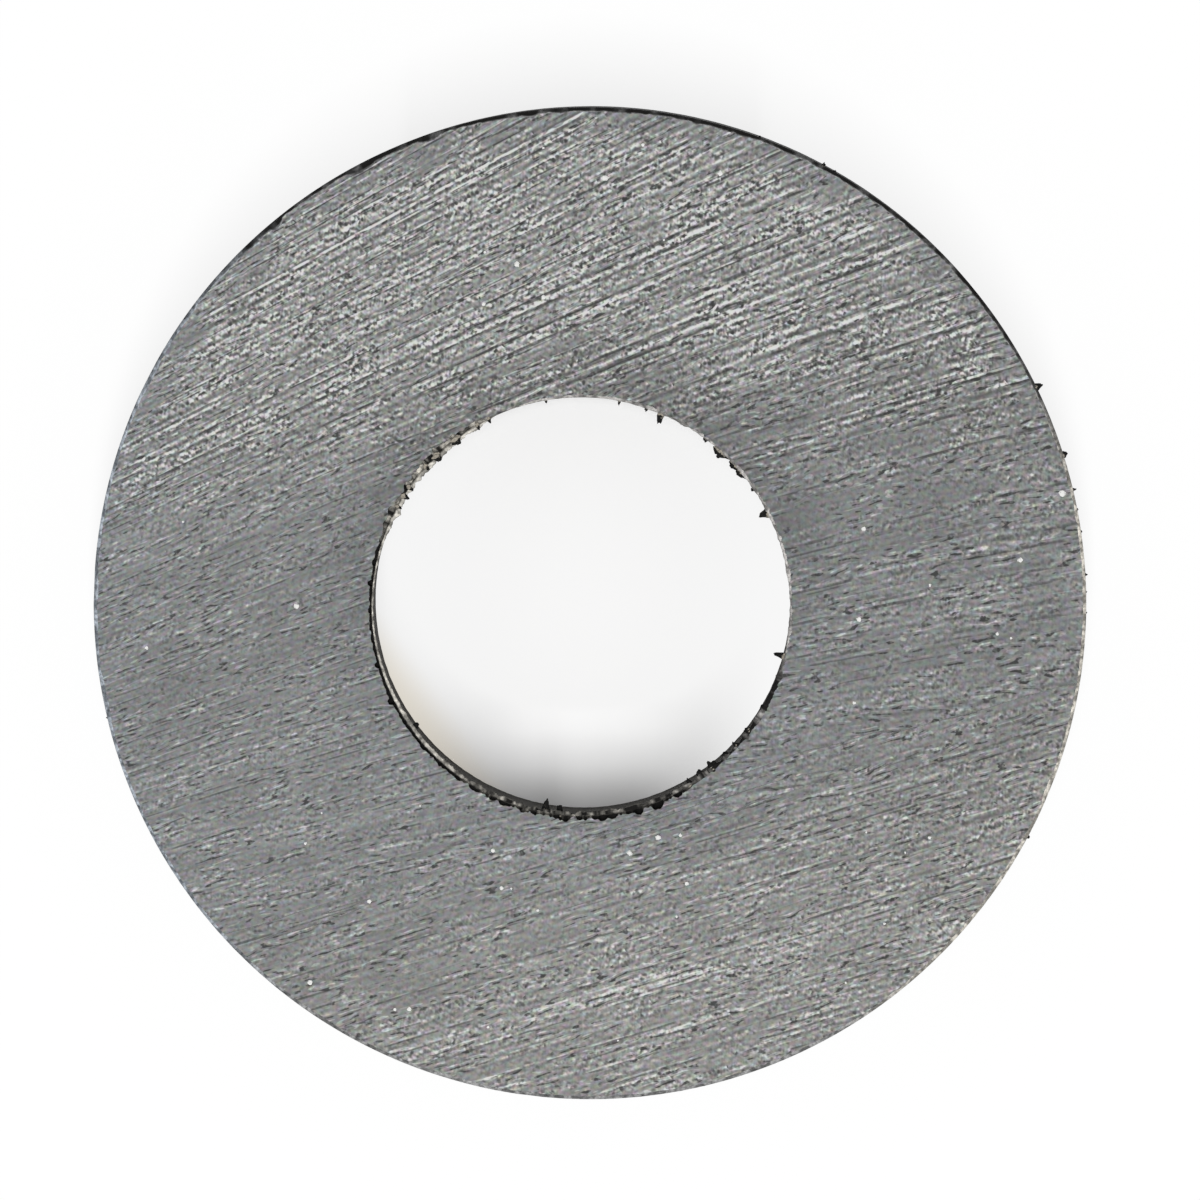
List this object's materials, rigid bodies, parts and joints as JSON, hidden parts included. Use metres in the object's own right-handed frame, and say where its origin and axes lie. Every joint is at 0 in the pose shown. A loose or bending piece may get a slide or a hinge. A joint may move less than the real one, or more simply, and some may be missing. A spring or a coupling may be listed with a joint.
{
  "type": "ring magnet",
  "caption": "Flat sintered ferrite ring magnet with ground pole faces, a plain bore slightly off centre, and chipped edges.",
  "frame": {"origin": "centre of the outside, on the lower pole face that the ring rests on", "axes": "+Z along the bore and the direction of magnetisation, out of the upper pole face; +X across the ring, away from the side that the bore is displaced to; +Y across the ring, at a right angle"},
  "size_m": [0.045, 0.045, 0.008],
  "materials": {
    "ferrite": "ground and matt, with grinding marks"
  },
  "bodies": {
    "root": {"magnet_ring": "ferrite"}
  },
  "joints": []
}
